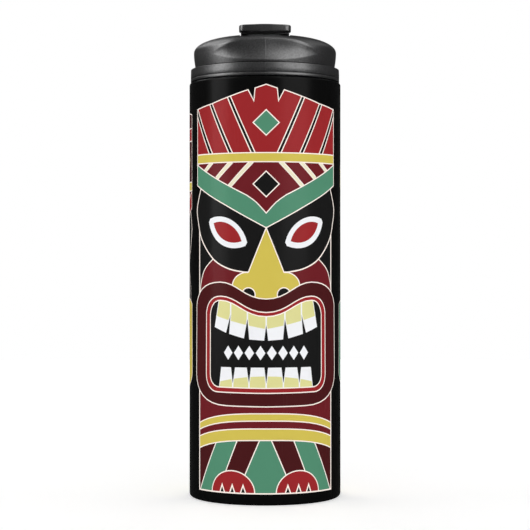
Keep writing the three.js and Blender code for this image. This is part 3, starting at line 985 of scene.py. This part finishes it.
def dome_column(angle):
    """The cap's outside at one angle from the front, foot to crown, without its centre."""
    is_front = math.cos(angle) > 0
    across = min(abs(DOME_RADIUS * math.sin(angle)) / SCOOP_HALF, 1.0) if is_front else 1.0
    low, high = (dome_share(z) for z in scoop_edges(across))
    sag = 0.07 * min((1 - across) / 0.12, 1.0)
    start, end = dome_point(low), dome_point(high)
    chord = end - start
    inward = Vector((-chord.y, chord.x))

    def scooped(step):
        if across >= 1:
            return dome_point(low + (high - low) * step)
        return start + chord * step + inward * (sag * 4 * step * (1 - step))

    foot = SEAM_RADIUS - SEAM_DEPTH
    column = [Vector((foot - 0.1, DOME_FOOT)), Vector((foot, DOME_FOOT + 0.1))]
    column += [Vector((foot, SEAM_Z - 0.2)), Vector((foot + 0.1, SEAM_Z - 0.08))]
    column += [Vector((SEAM_RADIUS - 0.12, SEAM_Z - 0.06))]
    column += [dome_point((low - 0.02) * k / 5) for k in range(5)]
    size = chord.length
    column += turn_over(dome_point(low - 0.012), start, scooped(0.06), min(0.22, 0.06 * size))
    column += [scooped(0.08 + 0.72 * k / 11) for k in range(12)]
    column += turn_over(scooped(0.88), end, dome_point(high + 0.05), min(2.0, 0.18 * size), 6)
    column += [dome_point(high + 0.065 + (0.985 - high - 0.065) * k / 17) for k in range(18)]
    return column


def solid_from(verts, faces, name="tool"):
    """A bare helper solid for cutting and joining, not kept in the scene."""
    mesh = bpy.data.meshes.new(name)
    mesh.from_pydata([tuple(c * MM for c in v) for v in verts], [], faces)
    obj = bpy.data.objects.new(name, mesh)
    bpy.context.scene.collection.objects.link(obj)
    return obj


def combine(obj, tools):
    """Applies exact booleans: tools is a list of (operation, helper solid)."""
    for operation, tool in tools:
        change = obj.modifiers.new(operation.lower(), "BOOLEAN")
        change.operation = operation
        change.solver = "EXACT"
        change.object = tool
        graph = bpy.context.evaluated_depsgraph_get()
        result = bpy.data.meshes.new_from_object(obj.evaluated_get(graph))
        obj.modifiers.clear()
        old = obj.data
        obj.data = result
        bpy.data.meshes.remove(old)
        spare = tool.data
        bpy.data.objects.remove(tool)
        bpy.data.meshes.remove(spare)
    return obj


def finish_solid(obj, material, bevel=0.0, sharp=32.0, segments=2):
    """Gives a cut solid its material, softened edges and smooth shading."""
    mesh = obj.data
    mesh.materials.clear()
    mesh.materials.append(material)
    mesh.polygons.foreach_set("material_index", [0] * len(mesh.polygons))
    mesh.polygons.foreach_set("use_smooth", [True] * len(mesh.polygons))
    mesh.set_sharp_from_angle(angle=math.radians(sharp))
    if bevel:
        soften = obj.modifiers.new("soft_edges", "BEVEL")
        soften.width = bevel * MM
        soften.segments = segments
        soften.limit_method = "ANGLE"
        soften.angle_limit = math.radians(sharp)
        soften.harden_normals = True
    return obj


def box_solid(x, y, z):
    corners = rectangle(x[0], x[1], y[0], y[1])
    return solid_from(*extruded(corners, *z))


def round_bar(radius, half_length, y, z, steps=40, bevel=0.0):
    """A cylinder across X."""
    circle = arc(0, 0, radius, 0, 360, steps)[:-1]
    verts, faces = extruded(circle, -half_length, half_length, bevel)
    return crosswise(verts, y, z), faces


def stadium(half_width, half_depth, steps=12):
    straight = half_width - half_depth
    right = arc(straight, 0, half_depth, -90, 90, steps)
    return right + arc(-straight, 0, half_depth, 90, 270, steps)


def crosswise(flat, y=0.0, z=0.0):
    """Turns a prism drawn in (y, z) and extruded upwards so that it runs across X."""
    return [(c, a + y, b + z) for a, b, c in flat]


def dome_hollow():
    """The space inside the cap, cut back to leave a wall behind the finger scoop."""
    radius, spring, height = 31.5, 208.4, 7.0
    hollow = [(0, DOME_FOOT - 1), (radius, DOME_FOOT - 1)]
    for k in range(16):
        a = math.pi / 2 * k / 16
        hollow.append((radius * math.cos(a) ** CROWN_POWER, spring + height * math.sin(a)))
    hollow.append((0, spring + height))
    inner = solid_from(*turned(hollow, turn_angles(120)))
    slope = dome_point(dome_share(SCOOP_HIGH)) - dome_point(dome_share(SCOOP_LOW))
    lean = math.atan2(-slope.x, slope.y)
    along, up = Vector((math.sin(lean), math.cos(lean))), Vector((-math.cos(lean), math.sin(lean)))
    spot = Vector((-31.3, SCOOP_LOW))
    low, high = spot - along * 30, spot + along * 30
    flat, faces = extruded([tuple(c) for c in (low, high, high + up * 20, low + up * 20)], -40, 40)
    return combine(inner, [("DIFFERENCE", solid_from(crosswise(flat), faces))])


def hinge_ears():
    """The two ears that hold the pin, with flared feet."""
    radius, thick = 1.9, 2.7
    foot = CHANNEL_FLOOR - HINGE_Z
    outline = [(-radius - 1.5, foot), (radius + 1.5, foot)]
    outline += through([(radius + 0.55, foot + 1.1), (radius + 0.05, foot + 2.2)], 3)
    outline += arc(0, 0, radius, 0, 180, 20)
    outline += through([(-radius - 0.05, foot + 2.2), (-radius - 0.55, foot + 1.1)], 3)
    ears = []
    for low in (-CHANNEL_HALF - thick, CHANNEL_HALF):
        flat, faces = extruded(outline, low, low + thick, 0.25)
        ears.append(solid_from(crosswise(flat, HINGE_Y, HINGE_Z), faces))
    return ears


def dome():
    """The cap: turned columns with the scoop drawn in, then hollowed, slotted and bored."""
    angles = lid_angles(192)
    verts, rows = [(0, 0, DOME_FOOT)], [[0] * len(angles)]
    columns = [dome_column(a) for a in angles]
    for j in range(len(columns[0])):
        rows.append(list(range(len(verts), len(verts) + len(angles))))
        for a, column in zip(angles, columns):
            reach = column[j].x + (parting(a) if column[j].x > 12 else 0)
            verts.append((reach * math.sin(a), -reach * math.cos(a), column[j].y))
    rows.append([len(verts)] * len(angles))
    verts.append((0, 0, SPRING + DOME_HEIGHT))
    cap = solid_from(verts, skin(rows), "lid_domed_cap")

    channel = box_solid((-CHANNEL_HALF, CHANNEL_HALF), (-36, CHANNEL_BACK), (CHANNEL_FLOOR, 240))
    tools = [("DIFFERENCE", dome_hollow()), ("DIFFERENCE", channel)]
    tools += [("UNION", ear) for ear in hinge_ears()]
    slot_verts, slot_faces = extruded(stadium(SIP_HALF_WIDTH, SIP_HALF_DEPTH), 208, 230)
    tools.append(("DIFFERENCE", solid_from(moved(slot_verts, y=SIP_Y), slot_faces)))
    vent_verts, vent_faces = extruded(arc(0, 0, VENT_RADIUS, 0, 360, 24)[:-1], 207, 230)
    tools.append(("DIFFERENCE", solid_from(moved(vent_verts, y=VENT_Y), vent_faces)))
    tools.append(("DIFFERENCE", solid_from(*round_bar(PIN_BORE, 20, HINGE_Y, HINGE_Z, 28))))
    combine(cap, tools)
    return finish_solid(cap, PLASTIC, bevel=0.15, sharp=38)


def lid_plug():
    """The skirt that presses into the liner, with two grooves for the rings."""
    skirt, shank, inner, shank_inner = 30.2, 30.9, 27.6, 29.3
    low, high = (corner[2] for corner in box_mm("lid_plug"))
    profile = [(inner + 0.3, low), (skirt - 0.8, low), (skirt - 0.24, low + 0.24), (skirt, low + 0.8)]
    for groove in (187.4, 192.6):
        profile += [(skirt, groove - 0.15), (skirt - 0.15, groove), (29, groove)]
        profile += [(29, groove + 2.6), (skirt - 0.15, groove + 2.6), (skirt, groove + 2.75)]
    profile += [(skirt, 198.6), (shank, 199.3), (shank, high - 0.2), (shank - 0.2, high)]
    profile += [(shank_inner, high), (shank_inner, 199.1), (inner, 197.4), (inner, low + 0.3)]
    verts, faces = turned(profile, turn_angles(144), closed=True)
    return mesh_object("lid_press_in_plug", verts, faces, [PLASTIC], sharp=40)


def plug_seal(node, name):
    """A silicone ring with a thin wiping lip."""
    low, high = (corner[2] for corner in box_mm(node))
    lip = box_mm(node)[1][0]
    inner, back = 29.3, 30.25
    profile = [(inner, low), (back - 0.15, low), (back, low + 0.15), (back, high - 1.0)]
    profile += [(back + 0.08, high - 0.85), (lip - 0.1, high - 0.55), (lip, high - 0.4)]
    profile += [(lip, high - 0.15), (lip - 0.1, high), (inner, high)]
    verts, faces = turned(profile, turn_angles(144), closed=True)
    return mesh_object(name, verts, faces, [SILICONE], sharp=50)


def lower_seal():
    return plug_seal("lower_plug_seal", "silicone_lower_seal")


def upper_seal():
    return plug_seal("upper_plug_seal", "silicone_upper_seal")


# ---------------------------------------------------------------- the flip tab
def flip_lever():
    """A flat arm from the hinge barrel to a thicker, softly bowed finger lip."""
    half, under, front = LEVER_HALF, 218.6, -21.3
    rear_top = 221.9
    side = [(front, under), (HINGE_Y, under), (HINGE_Y, rear_top)]
    side += through([(HINGE_Y, rear_top), (-4.0, 222.05), (-15.0, 222.12), (front, 222.0)], 4)[1:]
    flat, faces = extruded(side, -half, half, 0.25)
    arm = solid_from(crosswise(flat), faces, "flip_lever_arm")

    wide = 12.1
    corners = [(-wide, -19.5, 1.0), (-wide, -25.9, 3.2), (0, -26.7, 40), (wide, -25.9, 3.2),
               (wide, -19.5, 1.0)]
    plan = rounded(corners, 8, closed=True)
    lip, lip_faces = extruded(plan, 219.3, 222.65, 0.5, 5)
    bowed = []
    for x, y, z in lip:
        lift = -0.35 * (x / wide) ** 2 if z > 221 else 0.0
        bowed.append((x, max(y, -26.3), z + lift))
    barrel = solid_from(*round_bar(2.2, half, HINGE_Y, HINGE_Z, 48, 0.2))
    bore = solid_from(*round_bar(PIN_BORE, 20, HINGE_Y, HINGE_Z, 28))
    combine(arm, [("UNION", solid_from(bowed, lip_faces)), ("UNION", barrel), ("DIFFERENCE", bore)])
    return finish_solid(arm, PLASTIC, bevel=0.12, sharp=40)


def hinge_pin():
    """The plain steel pin through ears and lever."""
    radius = box_mm("hinge_pin")[1][1] - HINGE_Y
    verts, faces = round_bar(radius, box_mm("hinge_pin")[1][0], HINGE_Y, HINGE_Z, 40, 0.2)
    return mesh_object("steel_hinge_pin", verts, faces, [PIN_STEEL], sharp=50)


def spout_stopper():
    """The stopper: a flat rim under the tab and a tapered nose in the sip hole."""
    low, high = CHANNEL_FLOOR + 0.3, CHANNEL_FLOOR + 1.1
    rim = extruded(stadium(8.7, 4.2), low, high, 0.22)
    nose_bottom = CHANNEL_FLOOR - 2.6
    nose_verts, nose_faces = extruded(stadium(7.1, 2.6), nose_bottom, low + 0.4, 0.3)
    tapered = []
    for x, y, z in nose_verts:
        shrink = 1 - 0.27 * (low - z) / (low - nose_bottom) if z < low else 1
        middle = max(-4.5, min(4.5, x))
        tapered.append((middle + (x - middle) * shrink, y * shrink, z))
    plug = solid_from(moved(rim[0], y=SIP_Y), rim[1], "silicone_spout_stopper")
    combine(plug, [("UNION", solid_from(moved(tapered, y=SIP_Y), nose_faces))])
    return finish_solid(plug, SILICONE, sharp=45)


def vent_button():
    """The small button that closes the vent hole."""
    low, high = CHANNEL_FLOOR + 0.3, CHANNEL_FLOOR + 1.1
    profile = [(0, CHANNEL_FLOOR - 0.7), (0.6, CHANNEL_FLOOR - 0.7), (0.8, CHANNEL_FLOOR - 0.5)]
    profile += [(0.8, low), (2.4, low), (2.6, low + 0.2), (2.6, high - 0.2), (2.4, high), (0, high)]
    verts, faces = turned(profile, turn_angles(40))
    verts = moved(verts, y=VENT_Y)
    return mesh_object("silicone_vent_seal", verts, faces, [SILICONE], sharp=45)


# ---------------------------------------------------------------- camera, light and floor
def studio_floor():
    """A white table top that melts into the white surroundings."""
    verts = [(x, y, 0) for x, y in arc(0, 0, 1150, 0, 360, 96)[:-1]]
    table = mesh_object("studio_floor", verts, [list(range(len(verts)))], [studio_material()])
    table.visible_glossy = False


def soft_box(name, azimuth, elevation, distance, width, height, radiance, use, aim=(0, 0, 0.11)):
    """An area light that either fills shadows or shows as a reflection, or both.
    Azimuth turns from the camera's side towards +X, in degrees."""
    lamp = bpy.data.lights.new(name, "AREA")
    lamp.shape = "RECTANGLE"
    lamp.size, lamp.size_y = width, height
    lamp.energy = radiance * math.pi * width * height
    obj = bpy.data.objects.new(name, lamp)
    bpy.context.scene.collection.objects.link(obj)
    a, e = math.radians(azimuth), math.radians(elevation)
    target = Vector(aim)
    away = Vector((math.sin(a) * math.cos(e), -math.cos(a) * math.cos(e), math.sin(e)))
    obj.location = target + away * distance
    obj.rotation_euler = (-away).to_track_quat("-Z", "Y").to_euler()
    obj.visible_glossy = use != "fill"
    obj.visible_diffuse = use != "reflection"


def studio_world():
    """White where the camera sees it, softer grey as a light."""
    world = bpy.data.worlds.new("studio")
    bpy.context.scene.world = world
    world.use_nodes = True
    tree = world.node_tree
    seen = tree.nodes.new("ShaderNodeBackground")
    seen.inputs["Color"].default_value = (1, 1, 1, 1)
    dim = tree.nodes["Background"]
    dim.inputs["Color"].default_value = (1, 1, 1, 1)
    dim.inputs["Strength"].default_value = 0.05
    path = tree.nodes.new("ShaderNodeLightPath")
    mix = tree.nodes.new("ShaderNodeMixShader")
    tree.links.new(path.outputs["Is Camera Ray"], mix.inputs["Fac"])
    tree.links.new(dim.outputs[0], mix.inputs[1])
    tree.links.new(seen.outputs[0], mix.inputs[2])
    tree.links.new(mix.outputs[0], tree.nodes["World Output"].inputs["Surface"])


def studio():
    scene = bpy.context.scene
    scene.view_settings.view_transform = "Standard"
    studio_floor()
    studio_world()
    soft_box("left_box", -72, 26, 0.9, 0.48, 0.95, 5.8, "reflection")
    soft_box("right_box", 46, 34, 0.9, 0.76, 1.2, 4.6, "reflection")
    soft_box("top_box", 0, 85, 0.9, 0.7, 0.7, 0.4, "reflection")
    soft_box("upper_left_box", -106, 50, 0.9, 1.15, 0.5, 2.6, "reflection")
    soft_box("upper_right_box", 118, 52, 0.9, 0.8, 0.5, 0.5, "reflection")
    for azimuth in range(-150, 180, 60):
        soft_box("fill_box", azimuth, 18, 1.4, 1.2, 1.2, 1.42, "fill")


def camera():
    height, distance = 110.6, 795.0
    eye = bpy.data.cameras.new("camera")
    eye.sensor_width = 36.0
    eye.lens = 112.4
    eye.clip_end = 50
    obj = bpy.data.objects.new("camera", eye)
    obj.location = (0, -distance * MM, height * MM)
    obj.rotation_euler = (math.pi / 2, 0, 0)
    bpy.context.scene.collection.objects.link(obj)
    bpy.context.scene.camera = obj


# ---------------------------------------------------------------- assembly
STEEL = steel_material()
PLASTIC = plastic_material()
PIN_STEEL = pin_material()
SILICONE = silicone_material()


def hidden_metal():
    """The parts sealed between the walls keep their CAD shape."""
    for node, material, name in (
        ("shell_bottom", STEEL, "bare_steel"),
        ("vacuum_getter", sintered_material(), "sintered_metal"),
        ("vacuum_seal_bead", glass_material(), "solder_glass"),
    ):
        obj = frame["nodes"][node]
        obj.data.materials.clear()
        obj.data.materials.append(material)


def assembly():
    """Every redrawn piece on its body, in place of its CAD node."""
    for build, body, node, slot_name in (
        (printed_shell, "tumbler", "outer_shell", "printed_steel"),
        (inner_liner, "tumbler", "inner_liner", "bare_steel"),
        (base_cap, "tumbler", "base_cap", "bare_steel"),
        (collar, "lid", "lid_collar", "black_plastic"),
        (dome, "lid", "lid_dome", "black_plastic"),
        (lid_plug, "lid", "lid_plug", "black_plastic"),
        (hinge_pin, "lid", "hinge_pin", "pin_steel"),
        (lower_seal, "seals", "lower_plug_seal", "grey_silicone"),
        (upper_seal, "seals", "upper_plug_seal", "grey_silicone"),
        (flip_lever, "flip_tab", "flip_lever", "black_plastic"),
        (spout_stopper, "flip_tab", "spout_stopper", "grey_silicone"),
        (vent_button, "flip_tab", "vent_seal", "grey_silicone"),
    ):
        body_piece(build(), body, node)


hidden_metal()
assembly()
studio()
camera()
